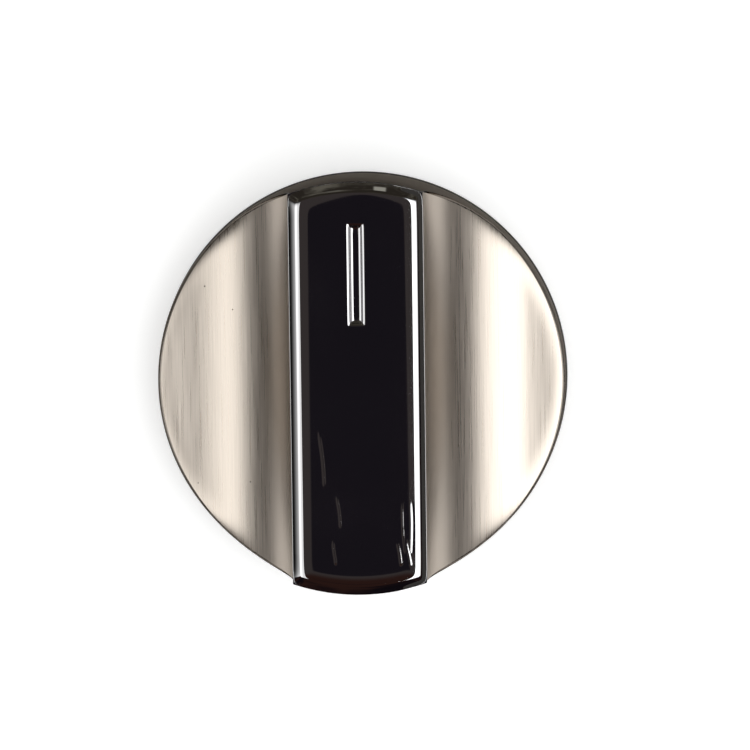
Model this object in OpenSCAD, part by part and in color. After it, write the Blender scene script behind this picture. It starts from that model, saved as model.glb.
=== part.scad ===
// Control knob for a cooking appliance: a round satin body with two scooped wings,
// a polished grip cap across its middle, and a slotted hub that clamps on a D-shaped stem.
// The rear rim lies on z = 0, the stem axis is +Z, and the indicator points along +Y.

/* [Knob body] */
// Diameter of the knob at its rear rim
knob_d = 50; // [42:1:62]
// Height of the polished grip face above the rear rim
knob_h = 23; // [19:0.5:29]
// Inward lean of the round side wall, in degrees
wall_draft = 2.3; // [0.5:0.1:4]
// Height of the lowest line of the wings above the rear rim
wing_h = 7.8; // [6.5:0.1:9.5]
// Radius of the gentle rise from that line out to the rim
dish_r = 38; // [25:1:80]
// Thickness of the body's moulded walls
shell_t = 1.8; // [1.4:0.1:2.2]
// Chamfer around the outside of the rear rim
rim_chamfer = 0.4; // [0.2:0.1:0.8]

/* [Grip and cap] */
// Width of the grip across its two walls
grip_w = 15.7; // [14.5:0.1:20]
// Height of the polished cap, from the body to the grip face
cap_h = 2.4; // [2:0.1:3]
// Rounding of the cap's upper edges
cap_round = 1.55; // [0.8:0.05:1.8]
// Thickness of the cap's top
cap_t = 1.5; // [1.2:0.1:1.8]
// Thickness of the cap's side walls
cap_wall = 1.5; // [1.2:0.1:2]
// Straight satin strip of the grip wall, just below the cap
grip_land = 0.2; // [0.1:0.1:0.6]
// Gap all round between the cap and the locating land inside it
land_gap = 0.1; // [0.05:0.05:0.2]
// Diameter of the studs that hold the cap
stud_d = 2.4; // [2:0.1:3]
// Gap around each stud in its hole
stud_gap = 0.05; // [0.02:0.01:0.1]
// Diameter of the formed stud heads under the deck
stud_head_d = 3.8; // [3.4:0.1:4.5]
// Height of the formed stud heads
stud_head_h = 0.9; // [0.6:0.1:1.2]

/* [Indicator groove] */
// Length of the indicator groove
groove_l = 12; // [8:0.5:16]
// Distance from the stem axis to the inner end of the groove
groove_start = 7.4; // [4:0.1:8]
// Width of the flat floor of the groove
groove_floor = 0.62; // [0.4:0.02:1]
// Radius of the rounded lips and of the rounded floor corners
groove_r = 0.43; // [0.3:0.01:0.5]
// Steepest lean of the groove's sides, in degrees
groove_lean = 58; // [45:1:70]

/* [Ribs and boss] */
// Outer diameter of the boss that holds the hub
boss_d = 13.8; // [13:0.1:15.5]
// Height of the lower end of the boss above the rear rim
boss_z = 7.5; // [6.5:0.1:9]
// Thickness of the ribs
rib_t = 1.3; // [1:0.1:1.6]
// Height of the lower edge of the ribs above the rear rim
rib_z = 2.5; // [1:0.1:4]
// Angle of the slanted ribs from the X axis
rib_angle = 55; // [45:1:62]

/* [Stem hub] */
// Diameter of the round stem that the hub takes
stem_d = 6; // [5:0.1:6.4]
// Size of the stem across its flat
stem_flat = 4.6; // [3.8:0.1:5.2]
// Gap all round between the stem and the socket
stem_gap = 0.05; // [0.02:0.01:0.1]
// Depth of the socket
socket_depth = 14; // [10:0.5:15]
// Depth of the round mouth of the socket, before the flat begins
lead_in = 4; // [2:0.5:6]
// Extra gap all round in that mouth, past the stem gap
lead_gap = 0.2; // [0.1:0.05:0.4]
// Chamfer around the socket's mouth
mouth_chamfer = 0.4; // [0.2:0.1:0.8]
// Outer diameter of the hub
hub_d = 10; // [9.4:0.1:10.6]
// Gap all round between the hub and the boss
hub_gap = 0.05; // [0.02:0.01:0.1]
// Height of the hub's open end above the rear rim
hub_z = 1; // [0.5:0.1:1.5]
// Diameter of the flange that seats under the boss
flange_d = 13; // [12.2:0.1:13.8]
// Thickness of that flange
flange_t = 1.2; // [1:0.1:1.6]
// Width of the two keys that stop the hub turning
key_w = 1.8; // [1.4:0.1:2.4]
// Height of the keys above the hub's barrel
key_h = 0.8; // [0.6:0.05:0.9]
// Width of the two slots that let the socket spring open
slot_w = 1; // [0.8:0.1:1.4]
// Length of the slots
slot_l = 8.5; // [6:0.5:10]

/* [Spring ring] */
// Thickness of the spring ring's strip
ring_t = 0.6; // [0.4:0.05:0.8]
// Width of the spring ring's strip
ring_w = 2.8; // [2:0.1:3.2]
// Gap between the ring and the sides and floor of its groove
ring_gap = 0.05; // [0.02:0.01:0.1]
// Opening between the two ends of the ring
ring_mouth = 4; // [2:0.1:6]
// Distance from the hub's open end to the ring's groove
ring_inset = 1.2; // [0.8:0.1:1.4]

/* [Hidden] */
$fn = 96;
eps = 1;

rim_r = knob_d / 2;
deck_z = knob_h - cap_h;
deck_under = deck_z - shell_t;
// The wall of the grip turns into the wing along a quarter circle.
scoop_r = deck_z - grip_land - wing_h;
scoop_x = grip_w / 2 + scoop_r;
scoop_z = wing_h + scoop_r;
// The land rises into the hollow under the cap.
land_h = cap_h - cap_t - land_gap;
stud_hole_d = stud_d + 2 * stud_gap;
stud_y = [10.5, 17.5];
// The groove's sides are two equal arcs, one convex and one concave.
groove_depth = 2 * groove_r * (1 - cos(groove_lean));
groove_w = groove_floor + 4 * groove_r * sin(groove_lean);
socket_r = stem_d / 2 + stem_gap;
socket_flat = stem_flat - stem_d / 2 + stem_gap;
mouth_r = socket_r + lead_gap;
bore_r = hub_d / 2 + hub_gap;
hub_top = deck_under - 0.2;
ring_r = hub_d / 2 - ring_t;
// Room around the hub's flange and ring, where the ribs stop short.
flex_r = flange_d / 2 + 1;
// Steps in the rounded edge at the cap's ends
edge_steps = 12;

// Radius of the round side wall at height z
function wall_r(z) = rim_r - z * tan(wall_draft);

// Extrudes an outline drawn in X and Z along Y, through the whole knob
module along_y(length = 2 * knob_d) {
    translate([0, length / 2, 0]) rotate([90, 0, 0]) linear_extrude(height = length) children();
}

// Copies its children to both sides of the stem axis
module both_sides() {
    children();
    mirror([1, 0, 0]) children();
}

// Outline of the open air above one wing, grown by a wall's thickness for the hollow below it
module wing_air(grow = 0) {
    translate([scoop_x, scoop_z]) circle(r = scoop_r + grow, $fn = 180);
    intersection() {
        translate([scoop_x, wing_h + dish_r]) circle(r = dish_r + grow, $fn = 360);
        translate([scoop_x, 0]) square([knob_d, wing_h + dish_r]);
    }
    translate([scoop_x - scoop_r - grow, scoop_z]) square([knob_d, knob_h]);
}

// Outline of the grip and the two wings, seen along Y
module body_outline() {
    difference() {
        translate([-knob_d, 0]) square([2 * knob_d, deck_z]);
        both_sides() wing_air();
    }
}

// Outline of the hollow inside the grip and the wings, seen along Y
module hollow_outline() {
    difference() {
        translate([-knob_d, -eps]) square([2 * knob_d, deck_under + eps]);
        both_sides() wing_air(shell_t);
    }
}

// Round drafted side wall, with a chamfer at the rear rim
module round_body() {
    rotate_extrude($fn = 180)
        polygon([
            [0, 0], [rim_r - rim_chamfer, 0], [wall_r(rim_chamfer), rim_chamfer],
            [wall_r(deck_z), deck_z], [0, deck_z]
        ]);
}

// Space inside the side wall
module round_hollow() {
    rotate_extrude($fn = 180)
        polygon([
            [0, -eps], [wall_r(-eps) - shell_t, -eps],
            [wall_r(deck_z) - shell_t, deck_z], [0, deck_z]
        ]);
}

// Hollow under the grip and the wings
module body_hollow() {
    intersection() {
        round_hollow();
        along_y() hollow_outline();
    }
}

// Outline of the cap seen from the front, drawn inward by a margin
module cap_plan(margin) {
    intersection() {
        square([grip_w - 2 * margin, knob_d], center = true);
        circle(r = wall_r(deck_z) - margin, $fn = 180);
    }
}

// One upright rib from the stem axis outward
module rib(angle) {
    rotate([0, 0, angle]) translate([0, -rib_t / 2, rib_z])
        cube([rim_r - shell_t / 2, rib_t, deck_z - rib_z - shell_t / 2]);
}

// Places its children at the four studs
module at_studs() {
    for (side = [-1, 1], y = stud_y) translate([0, side * y, 0]) children();
}

// Boss and ribs that fill part of the hollow
module boss_and_ribs() {
    intersection() {
        union() {
            translate([0, 0, boss_z]) cylinder(d = boss_d, h = deck_z - boss_z - shell_t / 2);
            difference() {
                for (side = [0, 180], angle = [-rib_angle, 0, rib_angle]) rib(side + angle);
                cylinder(r = flex_r, h = boss_z);
            }
        }
        // They run half a wall's thickness into the shell.
        intersection() {
            cylinder(r1 = wall_r(0) - shell_t / 2, r2 = wall_r(deck_z) - shell_t / 2, h = deck_z, $fn = 180);
            along_y() difference() {
                translate([-knob_d, 0]) square([2 * knob_d, deck_z - shell_t / 2]);
                both_sides() wing_air(shell_t / 2);
            }
        }
    }
}

// Two keyways in the boss
module hub_keys(gap) {
    reach = hub_d / 2 + key_h + gap;
    translate([-reach, -key_w / 2 - gap, 0]) cube([2 * reach, key_w + 2 * gap, hub_top - boss_z + gap]);
}

module knob_body() {
    color([0.73, 0.68, 0.62])
    difference() {
        union() {
            difference() {
                intersection() {
                    round_body();
                    along_y() body_outline();
                }
                body_hollow();
            }
            boss_and_ribs();
            translate([0, 0, deck_z - shell_t / 2])
                linear_extrude(height = land_h + shell_t / 2) cap_plan(cap_wall + land_gap);
        }
        translate([0, 0, boss_z - eps]) cylinder(r = bore_r, h = deck_under - boss_z + eps);
        translate([0, 0, boss_z]) hub_keys(hub_gap);
        at_studs() translate([0, 0, deck_under - eps]) cylinder(d = stud_hole_d, h = cap_h + shell_t + eps);
    }
}

// Cross-section of the cap with its two rounded upper edges, seen along Y
module cap_outline() {
    translate([-grip_w / 2, deck_z]) square([grip_w, cap_h - cap_round]);
    translate([-grip_w / 2 + cap_round, deck_z]) square([grip_w - 2 * cap_round, cap_h]);
    both_sides() translate([grip_w / 2 - cap_round, knob_h - cap_round]) intersection() {
        circle(r = cap_round);
        square(cap_round);
    }
}

// The cap's round ends carry the body's drafted wall on, into the same rounded edge.
module cap_ends() {
    round_z = knob_h - cap_round;
    round_x = wall_r(round_z) - cap_round / cos(wall_draft);
    edge = [for (i = [0 : edge_steps])
        let (a = wall_draft + (90 - wall_draft) * i / edge_steps)
        [round_x + cap_round * cos(a), round_z + cap_round * sin(a)]];
    rotate_extrude($fn = 180)
        polygon(concat([[0, deck_z - eps], [wall_r(deck_z - eps), deck_z - eps]], edge, [[0, knob_h]]));
}

// Cross-section of the indicator groove across a given flat floor, with its top at height 0
module groove_outline(floor_w) {
    reach = groove_r * sin(groove_lean);
    low_w = floor_w + 2 * reach;
    top_w = floor_w + 4 * reach;
    intersection() {
        union() {
            for (side = [-1, 1]) translate([side * floor_w / 2, groove_r - groove_depth]) circle(r = groove_r);
            translate([-floor_w / 2, -groove_depth]) square([floor_w, groove_depth]);
        }
        translate([-low_w, -groove_depth]) square([2 * low_w, groove_depth / 2]);
    }
    difference() {
        translate([-top_w / 2, -groove_depth / 2]) square([top_w, groove_depth / 2 + eps]);
        for (side = [-1, 1]) translate([side * top_w / 2, -groove_r]) circle(r = groove_r);
    }
}

// Groove with the same rounded lips and corners along its sides and at its ends
module indicator_groove() {
    end_floor = groove_l - 4 * groove_r * sin(groove_lean);
    translate([0, groove_start + groove_l / 2, knob_h])
    intersection() {
        along_y(groove_l) groove_outline(groove_floor);
        rotate([0, 0, 90]) along_y(groove_w) groove_outline(end_floor);
    }
}

// Stud with its formed head under the deck
module stud() {
    head_z = deck_under - stud_head_h;
    translate([0, 0, head_z]) cylinder(d = stud_d, h = knob_h - cap_t / 2 - head_z);
    translate([0, 0, head_z]) cylinder(d = stud_head_d, h = stud_head_h);
}

module grip_cap() {
    color([0.24, 0.23, 0.25])
    difference() {
        union() {
            difference() {
                intersection() {
                    along_y() cap_outline();
                    cap_ends();
                }
                translate([0, 0, deck_z - eps])
                    linear_extrude(height = cap_h - cap_t + eps) cap_plan(cap_wall);
            }
            at_studs() stud();
        }
        indicator_groove();
    }
}

// Socket for the stem: a round mouth, then one flat on the side away from the indicator
module stem_socket() {
    translate([0, 0, hub_z - eps]) cylinder(r = mouth_r, h = lead_in + eps);
    translate([0, 0, hub_z - eps])
        cylinder(r1 = mouth_r + mouth_chamfer + eps, r2 = mouth_r, h = mouth_chamfer + eps);
    translate([0, 0, hub_z]) linear_extrude(height = socket_depth) difference() {
        circle(r = socket_r);
        translate([-stem_d, -socket_flat - stem_d]) square([2 * stem_d, stem_d]);
    }
}

module stem_hub() {
    color([0.13, 0.13, 0.14])
    difference() {
        union() {
            translate([0, 0, hub_z]) cylinder(d = hub_d, h = hub_top - hub_z);
            translate([0, 0, boss_z - flange_t]) cylinder(d = flange_d, h = flange_t);
            translate([0, 0, boss_z]) hub_keys(0);
        }
        stem_socket();
        translate([-hub_d, -slot_w / 2, hub_z - eps]) cube([2 * hub_d, slot_w, slot_l + eps]);
        translate([0, 0, hub_z + ring_inset]) difference() {
            cylinder(d = hub_d + 2 * eps, h = ring_w + 2 * ring_gap);
            cylinder(r = ring_r - ring_gap, h = ring_w + 2 * ring_gap);
        }
    }
}

// Open ring that presses the hub's two halves on the stem
module spring_ring() {
    color([0.62, 0.63, 0.65])
    translate([0, 0, hub_z + ring_inset + ring_gap])
    difference() {
        cylinder(r = ring_r + ring_t, h = ring_w);
        translate([0, 0, -eps]) cylinder(r = ring_r, h = ring_w + 2 * eps);
        translate([-ring_mouth / 2, 0, -eps]) cube([ring_mouth, hub_d, ring_w + 2 * eps]);
    }
}

knob_body();
grip_cap();
stem_hub();
spring_ring();
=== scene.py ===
"""Stove knob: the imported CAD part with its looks, a studio and the photograph's camera."""
import math

import bpy
import numpy as np
from mathutils import Matrix, Vector


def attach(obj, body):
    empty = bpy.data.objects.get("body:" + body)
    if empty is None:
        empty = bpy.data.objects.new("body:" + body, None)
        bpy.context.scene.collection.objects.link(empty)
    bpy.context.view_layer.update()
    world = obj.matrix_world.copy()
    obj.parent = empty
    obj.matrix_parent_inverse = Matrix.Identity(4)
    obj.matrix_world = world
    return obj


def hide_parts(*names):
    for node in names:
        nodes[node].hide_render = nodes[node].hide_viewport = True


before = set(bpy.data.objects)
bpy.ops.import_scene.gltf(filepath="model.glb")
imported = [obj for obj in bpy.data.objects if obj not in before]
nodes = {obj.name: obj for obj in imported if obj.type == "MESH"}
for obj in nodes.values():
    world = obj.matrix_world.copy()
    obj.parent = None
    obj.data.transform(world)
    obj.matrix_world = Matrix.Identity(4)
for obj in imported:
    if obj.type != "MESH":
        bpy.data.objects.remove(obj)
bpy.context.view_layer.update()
MM = 0.001

# Sizes shared with the CAD, in millimetres
RIM_R = 24.99
DRAFT = math.radians(2.3)
RIM_CHAMFER = 0.4
WING_H = 7.8
DISH_R = 38.0
GRIP_X = 7.85
DECK_Z = 20.6
TOP_Z = 23.0
SCOOP_R = 12.6
SCOOP_X = GRIP_X + SCOOP_R
SCOOP_Z = WING_H + SCOOP_R
# The indicator groove: its middle, half length, half width of its floor, and the arcs of its sides
GROOVE_Y = 13.4
GROOVE_HALF = 6.0
GROOVE_FLOOR = 0.31
GROOVE_R = 0.43
GROOVE_LEAN = math.radians(58)
GROOVE_SIDE = 2 * GROOVE_R * math.sin(GROOVE_LEAN)
GROOVE_DEPTH = 2 * GROOVE_R * (1 - math.cos(GROOVE_LEAN))

# Softened edge between wing and wall: radius at the wing, radius beside the grip, heights in between
EDGE_R = 0.48
EDGE_R_DECK = 0.14
EDGE_FADE_Z = (12.5, 20.0)
# Stretch of wing along the rim that falls away: width, fall at the wall, where it stops past the wall
# as a share of the width, and between which upright parts of the normal it sets in
SOFT_W = 2.6
SOFT_DROP = 0.286
SOFT_PAST = 1.2
SOFT_NORMAL = (0.72, 0.95)

# The cap's face: a crown, then each side's edge as the place where its arcs begin, and the arcs,
# each with its radius and the slope in degrees where it ends
CROWN_T = 2.4
CROWN_TILT = math.radians(2.3)
EDGE_RIGHT = (1.25, ((1.17, 55.0),))
EDGE_LEFT = (1.36, ((1.2, 31.6), (14.0, 34.2)))
EDGE_BLEND_X = (4.5, 6.5)
FACE_SINK = 0.02
CAP_END_Z = TOP_Z - 1.2
CORNER_SOFT = 0.5
GROOVE_SOFT = 0.12
# Faint polishing ridges in the face: start x, y, end x, y, half width, height
RIDGES = ((5.05, -12.4, 5.3, -19.4, 0.09, 0.0074), (4.3, -17.6, 5.0, -20.7, 0.12, 0.0104),
          (5.5, -17.2, 5.9, -20.8, 0.10, 0.0080), (6.2, -12.2, 6.25, -19.5, 0.12, -0.0090),
          (-4.5, -4.4, -3.95, -11.4, 0.10, 0.0101), (-2.5, -12.1, -2.2, -16.2, 0.09, 0.0086),
          (-2.95, -17.4, -2.85, -20.5, 0.09, 0.0088))
RIDGE_SWAY = 0.09
# Dark specks in the satin: place and radius
SPECKS = (((-18.8, 11.6), 0.07), ((-15.4, 8.8), 0.06), ((-13.5, -12.0), 0.06), ((-20.0, -12.3), 0.05))

# How near a CAD face has to lie to a plane, to the wing's section or to the wall to belong to the skin
ON_PLANE = 0.02
NEAR_SECTION = 0.12
NEAR_WALL = 0.45
NEAR_CAP_WALL = 0.03

# Material slots of the body
WING_SLOT, INSIDE_SLOT, WALL_SLOT, RIM_SLOT = range(4)

# Steps of the grids
SCOOP_STEPS = 120
DISH_STEPS = 1500
DISH_ANGLE = 0.115
TIP_STEPS = 74
BISECTIONS = 48
EDGE_ROWS = 11
WALL_ROWS = 9
END_COLUMNS = 41
END_ROWS = 21
# Distances of the wing's cross rows from the rim, then the number of rows to the middle
NEAR_RIM = np.array([0, 0.1, 0.2, 0.35, 0.5, 0.7, 0.95, 1.25, 1.6, 2, 2.5, 3.1, 3.9, 5])
MIDDLE_ROWS = 10
# Offsets that give each patch of wall and each wing its own stretch of the brush map
WALL_U = 40
LEFT_V = 300
QUARTER_V = 100

# Looks: the satin's darkest and brightest colour, the specks', and where the brushing sets in
SATIN_DARK = (0.54, 0.477, 0.416)
SATIN_BRIGHT = (0.68, 0.604, 0.532)
SPECK = (0.07, 0.05, 0.04)
BRUSH_FADE = 4.5
BRUSH_LEAST = 0.12
# The dark floor's colour, which also paints a thin ring of contact shadow round the knob's foot
DARK_FLOOR_AND_PAINTED_SHADOW = (0.07, 0.066, 0.062)
CARD_WHITE = (0.93, 0.93, 0.93)

# Studio: lengths in metres, power in watts
PANEL_Z = 0.45
PANEL_FADE_Y = 0.14
PANEL_MIDDLE = (0.2, 0.5)
FLOOR_RINGS = (0.0242, 0.0252, 0.0256, 0.05, 0.4, 8.0)
FLOOR_TURNS = 128
FLOOR_GLOW = 0.38
CARD_MID = (0.0015, 0.0)
CARD_HALF = 0.0485
CARD_FADE = 0.006
# Painted contact shadow: the floor stays dark out to the first radius and turns to the card by the second
PAINTED_SHADOW_R = (0.02508, 0.02522)
FILL_W = 6.3
FILL_SIZE = 1.2
FILL_Z = 0.9
# The world's colours, and the patches in its clutter: range aside, range up and brightness
ROOM = (0.052, 0.044, 0.043)
LENS = (0.0125, 0.0105, 0.0145)
CLUTTER = ((0.032, 0.027, 0.021), (0.16, 0.15, 0.12))
WARM = ((0.032, 0.014, 0.011), (0.007, 0.005, 0.007))
HORIZON = (0.16, 0.15, 0.14)
BELOW = (0.62, 0.61, 0.59)
PATCHES = ((-0.20, -0.12, 1.35, 1.7, 0.16), (0.065, 0.13, 1.6, 2.2, 0.42))


def wall_r(z):
    """Radius of the drafted side wall at height z."""
    return RIM_R - z * math.tan(DRAFT)


def smoothstep(a, b, x):
    t = np.clip((x - a) / (b - a), 0, 1)
    return t * t * (3 - 2 * t)


def unit(vectors):
    return vectors / np.linalg.norm(vectors, axis=-1, keepdims=True)


# Meshes
class Shell:
    """Gathers smooth grids and CAD faces into one mesh with its own normals and brush map."""

    def __init__(self):
        self.points, self.faces, self.normals, self.uvs, self.slots = [], [], [], [], []
        self.count = 0

    def grid(self, p, n, uv, flip=False, slot=0):
        """Adds a grid of points with normals, leaving out the quads that have closed up."""
        rows, cols = p.shape[:2]
        flat, normals, map_uv = p.reshape(-1, 3), n.reshape(-1, 3), uv.reshape(-1, 2)
        index = np.arange(rows * cols).reshape(rows, cols)
        quads = np.stack([index[:-1, :-1], index[1:, :-1], index[1:, 1:], index[:-1, 1:]], -1).reshape(-1, 4)
        if flip:
            quads = quads[:, ::-1]
        for quad in quads:
            ring = [i for k, i in enumerate(quad)
                    if np.abs(flat[i] - flat[quad[k - 1]]).max() > 1e-6]
            if len(ring) < 3:
                continue
            self.faces.append([int(i) + self.count for i in ring])
            self.normals.extend(normals[i] for i in ring)
            self.uvs.extend(map_uv[i] for i in ring)
            self.slots.append(slot)
        self.points.append(flat)
        self.count += len(flat)

    def cad(self, node, keep, slot=0):
        """Takes over the faces of a CAD node that keep() accepts, with their exact normals."""
        me = nodes[node].data
        co = np.array([v.co for v in me.vertices], float) / MM
        used = {}
        for poly in me.polygons:
            if not keep(co[list(poly.vertices)].mean(0), np.array(poly.normal)):
                continue
            ring = []
            for loop, v in zip(poly.loop_indices, poly.vertices):
                ring.append(used.setdefault(v, len(used)) + self.count)
                self.normals.append(np.array(me.corner_normals[loop].vector))
                self.uvs.append(co[v, :2])
            self.faces.append(ring)
            self.slots.append(slot)
        picked = sorted(used, key=used.get)
        self.points.append(co[picked])
        self.count += len(picked)

    def build(self, name, materials):
        me = bpy.data.meshes.new(name)
        me.from_pydata(np.vstack(self.points) * MM, [], self.faces)
        me.polygons.foreach_set("use_smooth", [True] * len(me.polygons))
        me.polygons.foreach_set("material_index", self.slots)
        layer = me.uv_layers.new(name="Brush")
        layer.uv.foreach_set("vector", np.array(self.uvs, np.float32).ravel())
        me.normals_split_custom_set([Vector(n).normalized() for n in self.normals])
        for look in materials:
            me.materials.append(look)
        return placed(name, me)


def placed(name, data):
    """A new object in the scene for a mesh, a lamp or a camera."""
    obj = bpy.data.objects.new(name, data)
    bpy.context.scene.collection.objects.link(obj)
    return obj


def wing_profile():
    """Right wing's section from the deck to past the rim: x, z, normal x, normal z, arc length."""
    rows = [(GRIP_X, DECK_Z, 1.0, 0.0), (GRIP_X, SCOOP_Z, 1.0, 0.0)]
    for a in np.radians(np.linspace(180, 270, SCOOP_STEPS + 1))[1:]:
        rows.append((SCOOP_X + SCOOP_R * math.cos(a), SCOOP_Z + SCOOP_R * math.sin(a),
                     -math.cos(a), -math.sin(a)))
    for a in np.linspace(0, DISH_ANGLE, DISH_STEPS + 1)[1:]:
        rows.append((SCOOP_X + DISH_R * math.sin(a), WING_H + DISH_R * (1 - math.cos(a)),
                     -math.sin(a), math.cos(a)))
    rows = np.array(rows)
    arc = np.r_[0, np.cumsum(np.hypot(*np.diff(rows[:, :2], axis=0).T))]
    return np.column_stack([rows, arc])


def wing_point(row, y):
    """Points and normals of the wing at these profile rows and y, with the softened stretch along the rim."""
    x, z, nx, nz = (row[..., k] for k in range(4))
    r = np.maximum(np.hypot(x, y), 1e-9)
    share = np.clip(1 - (wall_r(z) - r) / SOFT_W, 0, SOFT_PAST)
    weight = smoothstep(*SOFT_NORMAL, nz)
    slope = weight * 3 * SOFT_DROP / SOFT_W * share ** 2
    flat = np.maximum(nz, 1e-6)
    n = unit(np.stack([nx + flat * slope * x / r, flat * slope * y / r, nz + 0 * y], -1))
    return np.stack([x + 0 * y, y + 0 * x, z - weight * SOFT_DROP * share ** 3], -1), n


def wing_stations():
    """Profile rows, edge radius and half width at each station from the deck to the tip of the wing."""
    rows = wing_profile()
    edge = EDGE_R + (EDGE_R_DECK - EDGE_R) * smoothstep(*EDGE_FADE_Z, rows[:, 1])

    def past_wall(y):
        p, n = wing_point(rows, y)
        c = p - edge[:, None] * n
        return np.hypot(c[:, 0], c[:, 1]) - (wall_r(c[:, 2]) - edge / math.cos(DRAFT)), c

    low, high = np.zeros(len(rows)), np.full(len(rows), RIM_R)
    for _ in range(BISECTIONS):
        y = (low + high) / 2
        out = past_wall(y)[0] > 0
        low, high = np.where(out, low, y), np.where(out, y, high)
    c = past_wall(low)[1]
    inside = past_wall(0 * low)[0] < 0
    phi = np.arctan2(c[:, 1], c[:, 0])
    scoop_end = SCOOP_STEPS + 1
    last = int(np.flatnonzero(inside)[-1])
    picked = list(range(scoop_end + 1))
    for turn in np.linspace(phi[scoop_end], phi[last], TIP_STEPS + 1)[1:]:
        k = int(np.argmin(np.abs(phi[:last + 1] - turn)))
        if k > picked[-1]:
            picked.append(k)
    width = low[picked]
    width[-1] = 0
    return rows[picked], edge[picked], width


def outward(turn):
    """Normals of the drafted wall at these angles."""
    return np.stack([np.cos(turn) * math.cos(DRAFT), np.sin(turn) * math.cos(DRAFT),
                     np.full(len(turn), math.sin(DRAFT))], 1)


def rear_chamfer(above, turn):
    """Points and normals from the wall's lowest row to the chamfer's foot."""
    foot = (RIM_R - RIM_CHAMFER) * np.stack([np.cos(turn), np.sin(turn), 0 * turn], 1)
    n = np.stack([np.cos(turn), np.sin(turn), -np.ones(len(turn))], 1) / math.sqrt(2)
    return np.stack([above, foot], 1), np.stack([n, n], 1)


def wall_map(z, turn):
    """Brush map of the wall: its lines run round the knob."""
    return np.stack([z + WALL_U, np.repeat((turn * RIM_R)[:, None], z.shape[1], 1)], -1)


def body_skin(shell):
    """The outer skin of the body: wings, rounded rim edge, drafted wall and rear chamfer."""
    rows, edge, width = wing_stations()
    q, n1 = wing_point(rows, width)
    centre = q - edge[:, None] * n1
    centre[-1, 1] = 0
    phi = np.arctan2(centre[:, 1], centre[:, 0])
    n2 = outward(phi)
    # The edge turns from the wing's normal n1 to the wall's normal n2
    omega = np.arccos(np.clip((n1 * n2).sum(1), -1, 1))
    edge_n = np.stack([(np.sin((1 - t) * omega) / np.sin(omega))[:, None] * n1
                       + (np.sin(t * omega) / np.sin(omega))[:, None] * n2
                       for t in np.linspace(0, 1, EDGE_ROWS)], 1)
    edge_p = centre[:, None] + edge[:, None, None] * edge_n
    edge_p[..., 2] = np.minimum(edge_p[..., 2], DECK_Z)
    top = edge_p[:, -1]
    down = np.linspace(0, 1, WALL_ROWS)
    z = top[:, None, 2] * (1 - down) + RIM_CHAMFER * down
    wall_p = np.stack([wall_r(z) * np.cos(phi)[:, None], wall_r(z) * np.sin(phi)[:, None], z], -1)
    wall_p[:, 0] = top
    wall_n = np.repeat(n2[:, None], WALL_ROWS, 1)
    chamfer_p, chamfer_n = rear_chamfer(wall_p[:, -1], phi)
    wall_uv = wall_map(z, phi)
    bands = ((edge_p, edge_n, wall_map(edge_p[..., 2], phi), RIM_SLOT), (wall_p, wall_n, wall_uv, WALL_SLOT))
    near = NEAR_RIM / NEAR_RIM[-1]
    half = width[:, None] - np.minimum(width * 0.8, NEAR_RIM[-1])[:, None] * near
    half = np.concatenate([half, half[:, -1:] * np.linspace(1, 0, MIDDLE_ROWS)[1:]], 1)
    across = np.concatenate([-half, half[:, ::-1][:, 1:]], 1)
    wing_p, wing_n = wing_point(np.repeat(rows[:, None], across.shape[1], 1), across)
    wing_uv = np.stack([np.repeat(rows[:, 4:5], across.shape[1], 1), wing_p[..., 1]], -1)
    for sx in (1, -1):
        turn = np.array([sx, 1, 1.0])
        uv = wing_uv + [0, 0 if sx > 0 else LEFT_V]
        shell.grid(wing_p * turn, wing_n * turn, uv, flip=sx < 0, slot=WING_SLOT)
        for sy in (1, -1):
            side = np.array([sx, sy, 1.0])
            inverted = sx * sy < 0
            for p, n, uv, slot in bands:
                shell.grid(p * side, n * side, uv + [0, QUARTER_V * (sx + 2 * sy)], flip=inverted, slot=slot)
            shell.grid(chamfer_p * side, chamfer_n * side, wall_uv[:, -2:], flip=inverted, slot=WALL_SLOT)
    end_walls(shell, phi[0], top[0, 2])


def end_walls(shell, start, top_z):
    """The two ends of the grip, between the angles where the wings leave off."""
    turn = np.linspace(start, math.pi - start, END_COLUMNS)
    z = np.linspace(top_z, RIM_CHAMFER, END_ROWS)
    p = np.stack([wall_r(z)[None] * np.cos(turn)[:, None], wall_r(z)[None] * np.sin(turn)[:, None],
                  np.repeat(z[None], END_COLUMNS, 0)], -1)
    n = np.repeat(outward(turn)[:, None], END_ROWS, 1)
    uv = wall_map(p[..., 2], turn)
    chamfer_p, chamfer_n = rear_chamfer(p[:, -1], turn)
    for sy in (1, -1):
        side = np.array([1, sy, 1.0])
        shell.grid(p * side, n * side, uv, flip=sy > 0, slot=WALL_SLOT)
        shell.grid(chamfer_p * side, chamfer_n * side, uv[:, -2:], flip=sy > 0, slot=WALL_SLOT)


def is_body_skin(c, n):
    """Does this CAD face belong to the outer skin that body_skin() makes afresh?"""
    x, r, z = abs(c[0]), math.hypot(c[0], c[1]), c[2]
    outside = r > wall_r(z) - NEAR_WALL and -0.9 < n[2] < 0.5
    on_section = abs(z - np.interp(x, *PROFILE)) < NEAR_SECTION
    wing = x > GRIP_X - ON_PLANE and on_section and z < DECK_Z - 0.01 and n[2] > -0.1
    land = abs(x - GRIP_X) < ON_PLANE and SCOOP_Z - 2 < z < DECK_Z
    return outside or wing or land


def edge_drop(t, start, arcs):
    """How far the polished face has fallen at distance t from the cap's outline: crown, arcs, bevel."""
    t = np.clip(t, 0, CROWN_T)
    crown = CROWN_T - start
    drop = CROWN_TILT * np.clip(CROWN_T - t, 0, crown) ** 2 / (2 * crown)
    sine = math.sin(CROWN_TILT)
    for radius, slope in arcs:
        last = math.sin(math.radians(slope))
        width = radius * (last - sine)
        along = sine + np.clip(start - t, 0, width) / radius
        drop = drop + radius * (math.sqrt(1 - sine ** 2) - np.sqrt(1 - along ** 2))
        start, sine = start - width, last
    return drop + np.clip(start - t, 0, None) * math.tan(math.asin(sine))


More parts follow.
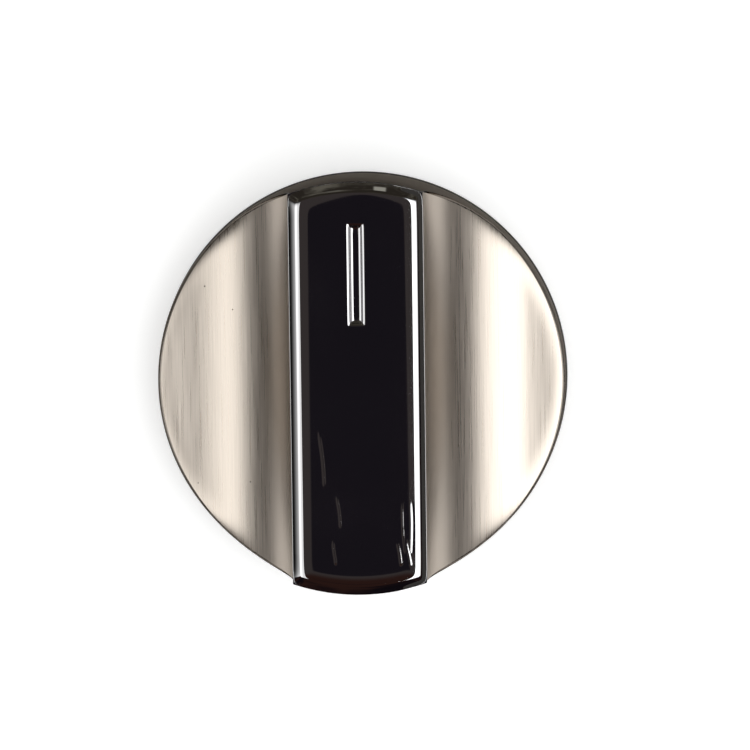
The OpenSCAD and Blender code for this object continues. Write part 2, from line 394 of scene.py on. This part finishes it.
def ripple(x, y):
    """Height of the faint ridges that polishing has left near the lower corners of the face."""
    height = 0
    for x0, y0, x1, y1, width, high in RIDGES:
        along = (y - y0) / (y1 - y0)
        middle = x0 + (x1 - x0) * along + RIDGE_SWAY * np.sin(4.2 * along + 3 * x0)
        fade = smoothstep(0, 0.3, along) * smoothstep(1, 0.9, along)
        height = height + high * fade * np.exp(-0.5 * ((x - middle) / width) ** 2)
    return height


def cap_height(x, y):
    """Height of the cap's polished face at (x, y), with its soft edges and the indicator groove."""
    side, end = GRIP_X - np.abs(x), wall_r(CAP_END_Z) - np.hypot(x, y)
    a, b = CROWN_T - np.minimum(side, CROWN_T + 1), CROWN_T - np.minimum(end, CROWN_T + 1)
    t = CROWN_T - (a + b + np.sqrt((a - b) ** 2 + CORNER_SOFT ** 2)) / 2
    share = smoothstep(*EDGE_BLEND_X, x)
    z = TOP_Z - FACE_SINK - (1 - share) * edge_drop(t, *EDGE_LEFT) - share * edge_drop(t, *EDGE_RIGHT)
    qx = GROOVE_FLOOR + GROOVE_SIDE - np.abs(x)
    qy = GROOVE_HALF - np.abs(y - GROOVE_Y)
    q = (qx + qy - np.sqrt((qx - qy) ** 2 + GROOVE_SOFT ** 2)) / 2
    half = GROOVE_SIDE / 2
    lip = GROOVE_R - np.sqrt(np.clip(GROOVE_R ** 2 - np.clip(q, 0, half) ** 2, 0, None))
    foot = GROOVE_R - np.sqrt(np.clip(GROOVE_R ** 2 - np.clip(GROOVE_SIDE - q, 0, half) ** 2, 0, None))
    return z + ripple(x, y) - np.where(q < half, lip, GROOVE_DEPTH - foot)


def cap_skin(shell):
    """The polished skin of the cap: face, rounded edges, groove and upright sides."""
    top_r = wall_r(CAP_END_Z)
    groove_x = GROOVE_FLOOR + GROOVE_SIDE
    start, stop = GROOVE_Y - GROOVE_HALF, GROOVE_Y + GROOVE_HALF
    # Rows lie close together over the rounded edge and over the groove's sides
    fine_t, before, close = 1.4, 0.15, 0.05
    edge_t = np.r_[np.linspace(0, fine_t, 32), np.linspace(fine_t, CROWN_T, 14)[1:]]
    lip = np.linspace(0, GROOVE_SIDE, 20)
    xs = np.r_[GRIP_X - edge_t, np.linspace(GRIP_X - edge_t[-1], groove_x + before, 75)[1:],
               groove_x + close, groove_x - lip, np.linspace(GROOVE_FLOOR, 0, 4)[1:]]
    xs = np.r_[xs, -xs[::-1][1:]]
    hold = top_r - edge_t[-1]
    mid_y = np.r_[np.linspace(-hold, start - before, 120), start - close, start + lip,
                  np.linspace(start + GROOVE_SIDE, stop - GROOVE_SIDE, 30)[1:-1], stop - lip[::-1],
                  stop + close, np.linspace(stop + before, hold, 6)[:-1]]
    reach = np.sqrt(top_r ** 2 - xs ** 2)
    low = -(reach[:, None] - edge_t[None])
    middle = (mid_y / hold)[None, 1:] * (reach[:, None] - edge_t[-1])
    y = np.concatenate([low, middle, -low[:, ::-1]], 1)
    x = np.repeat(xs[:, None], y.shape[1], 1)
    z = cap_height(x, y)
    step = 1e-4
    gx = (cap_height(x + step, y) - cap_height(x - step, y)) / (2 * step)
    gy = (cap_height(x, y + step) - cap_height(x, y - step)) / (2 * step)
    p = np.stack([x, y, z], -1)
    shell.grid(p, unit(np.stack([-gx, -gy, np.ones_like(z)], -1)), p[..., :2], flip=True)
    for k, nx in ((0, 1.0), (-1, -1.0)):
        foot = p[k].copy()
        foot[:, 2] = DECK_Z
        upright = np.stack([p[k], foot], 1)
        shell.grid(upright, np.broadcast_to([nx, 0, 0], upright.shape), upright[..., 1:], flip=nx > 0)
    for k, sy in ((0, -1), (-1, 1)):
        foot = p[:, k].copy()
        foot[:, :2] *= wall_r(DECK_Z) / top_r
        foot[:, 0] = np.clip(foot[:, 0], -GRIP_X, GRIP_X)
        foot[:, 2] = DECK_Z
        upright = np.stack([p[:, k], foot], 1)
        out = np.stack([x[:, k], y[:, k], 0 * xs], -1) / top_r
        shell.grid(upright, np.stack([out, out], 1), upright[..., ::2], flip=sy > 0)


def is_cap_skin(c, n):
    """Does this CAD face belong to the skin that cap_skin() makes afresh?"""
    x, r, z = abs(c[0]), math.hypot(c[0], c[1]), c[2]
    side = (abs(x - GRIP_X) < ON_PLANE or r > wall_r(z) - NEAR_CAP_WALL) and z > DECK_Z + 0.001
    edge = z > DECK_Z + 1.1 and (n[2] > 0.02 or x > GRIP_X - 1.3 or r > 22.8)
    face = z > TOP_Z - 0.45 and n[2] > 0.3
    return side or edge or face


# Node helpers
class Net:
    """Builds a node tree from small expressions."""

    def __init__(self, tree):
        self.tree = tree
        tree.nodes.clear()

    def node(self, kind, **values):
        made = self.tree.nodes.new(kind)
        for key, value in values.items():
            setattr(made, key, value)
        return made

    def put(self, socket, value):
        if isinstance(value, bpy.types.NodeSocket):
            self.tree.links.new(value, socket)
        else:
            socket.default_value = value

    def fill(self, made, values):
        """Gives a node its inputs in their order."""
        for socket, value in zip(made.inputs, values):
            self.put(socket, value)
        return made

    def math(self, op, *values):
        return self.fill(self.node("ShaderNodeMath", operation=op), values).outputs[0]

    def ramp(self, value, a, b, low=0.0, high=1.0, kind="SMOOTHSTEP"):
        made = self.node("ShaderNodeMapRange", interpolation_type=kind)
        return self.fill(made, (value, a, b, low, high)).outputs[0]

    def vector(self, op, *values):
        made = self.fill(self.node("ShaderNodeVectorMath", operation=op), values)
        return made.outputs["Value" if op in ("LENGTH", "DISTANCE") else "Vector"]

    def noise(self, vector, scale, detail=2.0, roughness=0.5):
        made = self.node("ShaderNodeTexNoise")
        self.put(made.inputs["Vector"], vector)
        made.inputs["Scale"].default_value = scale
        made.inputs["Detail"].default_value = detail
        made.inputs["Roughness"].default_value = roughness
        return made.outputs["Fac"]

    def mix(self, share, a, b):
        made = self.node("ShaderNodeMix", data_type="RGBA")
        self.put(made.inputs[0], share)
        for socket, colour in ((made.inputs[6], a), (made.inputs[7], b)):
            self.put(socket, colour if isinstance(colour, bpy.types.NodeSocket) else (*colour, 1.0))
        return made.outputs[2]

    def window(self, value, low, high, soft):
        """1 between low and high, fading over soft at both."""
        up = self.ramp(value, low - soft, low + soft)
        down = self.ramp(value, high - soft, high + soft, 1.0, 0.0)
        return self.math("MULTIPLY", up, down)

    def place(self, kind="Object"):
        """Texture coordinates of this kind."""
        return self.node("ShaderNodeTexCoord").outputs[kind]

    def parts(self, vector):
        """The three parts of a vector."""
        split = self.node("ShaderNodeSeparateXYZ")
        self.put(split.inputs[0], vector)
        return split.outputs

    def bump(self, shader, height, strength, distance):
        made = self.node("ShaderNodeBump")
        made.inputs["Strength"].default_value = strength
        made.inputs["Distance"].default_value = distance * MM
        self.put(made.inputs["Height"], height)
        self.put(shader.inputs["Normal"], made.outputs[0])

    def surface(self, shown, kind="ShaderNodeOutputMaterial"):
        self.put(self.node(kind).inputs["Surface"], shown)


def blank(name):
    """A new material with an empty tree."""
    made = bpy.data.materials.new(name)
    made.use_nodes = True
    return made, Net(made.node_tree)


def material(name):
    made, net = blank(name)
    shader = net.node("ShaderNodeBsdfPrincipled")
    net.surface(shader.outputs[0])
    return made, net, shader


def satin(name, roughness, unbrushed, edge_tint, painted_shade=1.0):
    """Satin nickel, brushed in straight lines along V of the brush map; unbrushed is U where they begin;
    painted_shade scales the plating's colour down as painted shade.
    """
    made, net, shader = material(name)
    uv = net.node("ShaderNodeUVMap", uv_map="Brush").outputs[0]
    reach = net.ramp(net.parts(uv)[0], unbrushed, unbrushed + BRUSH_FADE, BRUSH_LEAST, 1.0)
    fine = net.noise(net.vector("MULTIPLY", uv, (5.5, 0.09, 0.0)), 1.0, 1.0, 0.5)
    broad = net.noise(net.vector("MULTIPLY", uv, (1.2, 0.04, 0.0)), 1.0, 2.0, 0.5)
    both = net.math("ADD", net.math("MULTIPLY", fine, 0.85), net.math("MULTIPLY", broad, 0.15))
    lines = net.math("MULTIPLY", net.math("SUBTRACT", both, 0.5), reach)
    # Scaling the plating's colours by the shade factor paints shade into them
    dark, bright = ([k * painted_shade for k in colour] for colour in (SATIN_DARK, SATIN_BRIGHT))
    plating = net.mix(net.ramp(lines, -0.24, 0.24, 0.0, 1.0, "LINEAR"), dark, bright)
    at = net.vector("MULTIPLY", net.place(), (1 / MM, 1 / MM, 0))
    for spot, size in SPECKS:
        far = net.vector("DISTANCE", at, (*spot, 0.0))
        plating = net.mix(net.ramp(far, size, size * 1.8), SPECK, plating)
    net.put(shader.inputs["Base Color"], plating)
    uneven = net.ramp(lines, -0.2, 0.2, roughness - 0.03, roughness + 0.03, "LINEAR")
    net.put(shader.inputs["Roughness"], uneven)
    shader.inputs["Metallic"].default_value = 1.0
    shader.inputs["Anisotropic"].default_value = 0.7
    shader.inputs["Specular Tint"].default_value = (edge_tint, edge_tint, edge_tint, 1)
    tangent = net.node("ShaderNodeTangent", direction_type="UV_MAP", uv_map="Brush")
    net.put(shader.inputs["Tangent"], tangent.outputs[0])
    net.bump(shader, lines, 0.2, 0.012)
    return made


def plated_inside():
    """The same plating on the unbrushed inside: duller and slightly uneven."""
    made, net, shader = material("plated_inside")
    at = net.place()
    spread = net.noise(at, 220.0, 4.0, 0.6)
    net.put(shader.inputs["Base Color"], net.mix(spread, (0.40, 0.375, 0.345), (0.52, 0.49, 0.455)))
    net.put(shader.inputs["Roughness"], net.ramp(spread, 0.3, 0.7, 0.42, 0.56, "LINEAR"))
    shader.inputs["Metallic"].default_value = 1.0
    net.bump(shader, net.noise(at, 2600.0, 2.0), 0.3, 0.03)
    return made


def polished():
    """Mirror plating with a trace of polishing haze."""
    made, net, shader = material("polished_chrome")
    haze = net.noise(net.place(), 90.0, 3.0, 0.55)
    net.put(shader.inputs["Base Color"], net.mix(haze, (0.56, 0.55, 0.56), (0.60, 0.59, 0.60)))
    net.put(shader.inputs["Roughness"], net.ramp(haze, 0.35, 0.7, 0.02, 0.05, "LINEAR"))
    shader.inputs["Metallic"].default_value = 1.0
    shader.inputs["Specular Tint"].default_value = (0.3, 0.3, 0.3, 1)
    return made


def plastic():
    """Matte black moulded plastic with a fine grain."""
    made, net, shader = material("hub_moulding")
    at = net.place()
    tone = net.noise(at, 300.0, 3.0)
    net.put(shader.inputs["Base Color"], net.mix(tone, (0.022, 0.022, 0.024), (0.040, 0.040, 0.042)))
    net.put(shader.inputs["Roughness"], net.ramp(tone, 0.3, 0.7, 0.42, 0.6, "LINEAR"))
    net.bump(shader, net.noise(at, 5200.0, 2.0), 0.5, 0.02)
    return made


def spring_steel():
    """Bright rolled strip: fine lines round the ring."""
    made, net, shader = material("rolled_strip")
    lines = net.noise(net.vector("MULTIPLY", net.place(), (60.0, 60.0, 9000.0)), 1.0, 3.0)
    net.put(shader.inputs["Base Color"], net.mix(lines, (0.52, 0.52, 0.52), (0.66, 0.66, 0.67)))
    net.put(shader.inputs["Roughness"], net.ramp(lines, 0.3, 0.7, 0.22, 0.36, "LINEAR"))
    shader.inputs["Metallic"].default_value = 1.0
    return made


# Pieces
PROFILE = wing_profile()[1:, :2].T
# The body's looks, in the order of its slots
looks = (satin("satin_nickel", roughness=0.29, unbrushed=6.5, edge_tint=0.25),
         plated_inside(),
         # The wall and the rim edge take the same plating at 0.4 of its colour: painted shade that darkens
         # the knob's outline
         satin("satin_wall_painted_shade", roughness=0.42, unbrushed=0.0, edge_tint=0.0, painted_shade=0.4),
         satin("satin_edge_painted_shade", roughness=0.28, unbrushed=0.0, edge_tint=0.0, painted_shade=0.4))

body = Shell()
body_skin(body)
body.cad("knob_body", lambda c, n: not is_body_skin(c, n), slot=INSIDE_SLOT)
knob_body = body.build("body_shell", looks)
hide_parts("knob_body")
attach(knob_body, "root")

cap = Shell()
cap_skin(cap)
cap.cad("grip_cap", lambda c, n: not is_cap_skin(c, n))
grip_cap = cap.build("polished_strip", [polished()])
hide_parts("grip_cap")
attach(grip_cap, "root")

for name, look in (("stem_hub", plastic()), ("spring_ring", spring_steel())):
    for slot in nodes[name].material_slots:
        slot.material = look


# Studio
def floor():
    """A pale card on a dark floor, with an opening under the knob, so that its back can be lit and seen, and
    a thin ring of painted contact shadow round the knob's foot.
    """
    turns = np.linspace(0, 2 * math.pi, FLOOR_TURNS + 1)[:-1]
    rings = [np.stack([r * np.cos(turns), r * np.sin(turns), 0 * turns], 1) for r in FLOOR_RINGS]
    faces = [(k * FLOOR_TURNS + i, (k + 1) * FLOOR_TURNS + i, (k + 1) * FLOOR_TURNS + (i + 1) % FLOOR_TURNS,
              k * FLOOR_TURNS + (i + 1) % FLOOR_TURNS)
             for k in range(len(rings) - 1) for i in range(FLOOR_TURNS)]
    me = bpy.data.meshes.new("studio_floor")
    me.from_pydata(np.vstack(rings), [], faces)
    made, net = blank("studio_floor")
    at = net.place()
    x, y = (net.math("ABSOLUTE", net.math("SUBTRACT", part, middle))
            for part, middle in zip(net.parts(at), CARD_MID))
    card = net.ramp(net.math("MAXIMUM", x, y), CARD_HALF, CARD_HALF + CARD_FADE, 1.0, 0.0)
    # Painted contact shadow: a thin ring at the knob's foot gets the dark floor colour and no glow
    card = net.math("MULTIPLY", card, net.ramp(net.vector("LENGTH", at), *PAINTED_SHADOW_R))
    shader = net.node("ShaderNodeBsdfPrincipled")
    net.put(shader.inputs["Base Color"], net.mix(card, DARK_FLOOR_AND_PAINTED_SHADOW, CARD_WHITE))
    shader.inputs["Roughness"].default_value = 0.9
    shader.inputs["Specular IOR Level"].default_value = 0.0
    path = net.node("ShaderNodeLightPath").outputs
    seen = net.math("MAXIMUM", path["Is Camera Ray"], path["Is Glossy Ray"])
    seen = net.math("MAXIMUM", seen, path["Is Transmission Ray"])
    shader.inputs["Emission Color"].default_value = (1, 1, 1, 1)
    glow = net.math("MULTIPLY", net.math("MULTIPLY", seen, FLOOR_GLOW), card)
    net.put(shader.inputs["Emission Strength"], glow)
    below = net.node("ShaderNodeMixShader")
    net.put(below.inputs[0], net.node("ShaderNodeNewGeometry").outputs["Backfacing"])
    net.put(below.inputs[1], shader.outputs[0])
    net.put(below.inputs[2], net.node("ShaderNodeBsdfTransparent").outputs[0])
    net.surface(below.outputs[0])
    me.materials.append(made)
    obj = placed("studio_floor", me)


def soft_panel(name, x, y, colour, strength, inner, fade_x):
    """A light panel that fades towards its outer and +Y edges; inner is its strength nearest the middle."""
    made, net = blank(name)
    across, along = net.parts(net.place())[:2]
    outer = max(abs(k) for k in x)
    far = net.math("ABSOLUTE", across)
    power = net.ramp(far, *PANEL_MIDDLE, inner, strength)
    power = net.math("MULTIPLY", net.ramp(far, outer, outer - fade_x), power)
    glow = net.node("ShaderNodeEmission")
    glow.inputs["Color"].default_value = (*colour, 1)
    net.put(glow.inputs["Strength"], net.math("MULTIPLY", power, net.ramp(along, y[1], y[1] - PANEL_FADE_Y)))
    net.surface(glow.outputs[0])
    me = bpy.data.meshes.new(name)
    corners = ((x[0], y[0]), (x[1], y[0]), (x[1], y[1]), (x[0], y[1]))
    me.from_pydata([(*corner, PANEL_Z) for corner in corners], [], [(0, 1, 2, 3)])
    me.materials.append(made)
    obj = placed(name, me)
    obj.visible_camera = False


def studio_world():
    """A dim room with brown clutter past the indicator end, and a pale light from below for the back."""
    world = bpy.data.worlds.new("studio")
    bpy.context.scene.world = world
    world.use_nodes = True
    net = Net(world.node_tree)
    way = net.place("Generated")
    x, y, z = net.parts(way)
    # Where each direction meets a ceiling one unit up
    up = net.math("MAXIMUM", z, 0.02)
    u, v = net.math("DIVIDE", x, up), net.math("DIVIDE", y, up)
    # The black patch is the camera's surroundings, with an arched top
    lens = net.math("MULTIPLY", net.window(u, -0.062, 0.3, 0.008), net.ramp(v, -0.156, -0.144))
    offset = net.math("DIVIDE", net.math("ADD", u, 0.028), 0.027)
    arch = net.math("SUBTRACT", 0.06, net.math("MULTIPLY", net.math("MULTIPLY", offset, offset), 0.075))
    lens = net.math("MULTIPLY", lens, net.ramp(net.math("SUBTRACT", v, arch), -0.004, 0.004, 1.0, 0.0))
    light = net.mix(lens, ROOM, LENS)
    spots = net.ramp(net.noise(way, 4.0, 4.0, 0.6), 0.5, 0.68)
    clutter = net.mix(spots, *CLUTTER)
    aside = net.math("DIVIDE", x, net.math("MAXIMUM", y, 0.02))
    for left, right, low, high, shine in PATCHES:
        patch = net.math("MULTIPLY", net.window(aside, left, right, 0.006), net.window(v, low, high, 0.06))
        clutter = net.mix(patch, clutter, (shine, 0.98 * shine, 0.84 * shine))
    light = net.mix(net.ramp(v, 0.3, 0.5), light, clutter)
    spots = net.ramp(net.noise(way, 3.0, 3.0), 0.42, 0.6)
    light = net.mix(net.ramp(v, -0.15, -0.2), light, net.mix(spots, *WARM))
    light = net.mix(net.ramp(z, 0.05, 0.0), light, HORIZON)
    light = net.mix(net.ramp(z, -0.02, -0.3), light, BELOW)
    back = net.node("ShaderNodeBackground")
    net.put(back.inputs["Color"], light)
    net.surface(back.outputs[0], "ShaderNodeOutputWorld")


def fill_lamp():
    """A broad lamp overhead for the floor and the plastic; the polished metal doesn't mirror it."""
    lamp = bpy.data.lights.new("fill", "AREA")
    lamp.shape = "SQUARE"
    lamp.size = FILL_SIZE
    lamp.energy = FILL_W
    obj = placed("fill", lamp)
    obj.location = (0, 0, FILL_Z)
    obj.visible_glossy = False
    obj.visible_camera = False


def photo_camera():
    """The photograph's viewpoint: 400 mm away, leaning 4.2 degrees to +Y and 1.8 degrees to +X."""
    away = 400
    lean_y, lean_x, roll = 0.073, 0.032, -0.013
    photo_px, px_per_mm, sensor = 750, 8.105, 36.0
    axis_px = (363.4, 375.5)
    back = Vector((math.sin(lean_x) * math.cos(lean_y), math.sin(lean_y),
                   math.cos(lean_y) * math.cos(lean_x)))
    level = Vector((0, 1, 0)).cross(back).normalized()
    upright = back.cross(level)
    right = math.cos(roll) * level + math.sin(roll) * upright
    up = -math.sin(roll) * level + math.cos(roll) * upright
    camera = bpy.data.cameras.new("photo_camera")
    obj = placed("photo_camera", camera)
    obj.matrix_world = Matrix.Translation(away * MM * back) @ Matrix((right, up, back)).transposed().to_4x4()
    camera.sensor_width = sensor
    camera.lens = px_per_mm * away / photo_px * sensor
    camera.shift_x = (photo_px / 2 - axis_px[0]) / photo_px
    camera.shift_y = (axis_px[1] - photo_px / 2) / photo_px
    camera.clip_start = 0.01
    camera.clip_end = 50
    bpy.context.scene.camera = obj


floor()
soft_panel("panel_right", x=(0.036, 0.85), y=(-0.30, 0.22), colour=(0.985, 1.0, 1.0),
           strength=1.9, inner=2.75, fade_x=0.16)
soft_panel("panel_left", x=(-1.30, -0.115), y=(-0.30, 0.17), colour=(0.99, 1.0, 0.99),
           strength=2.3, inner=1.24, fade_x=0.95)
studio_world()
fill_lamp()
photo_camera()
bpy.context.scene.view_settings.view_transform = "Standard"
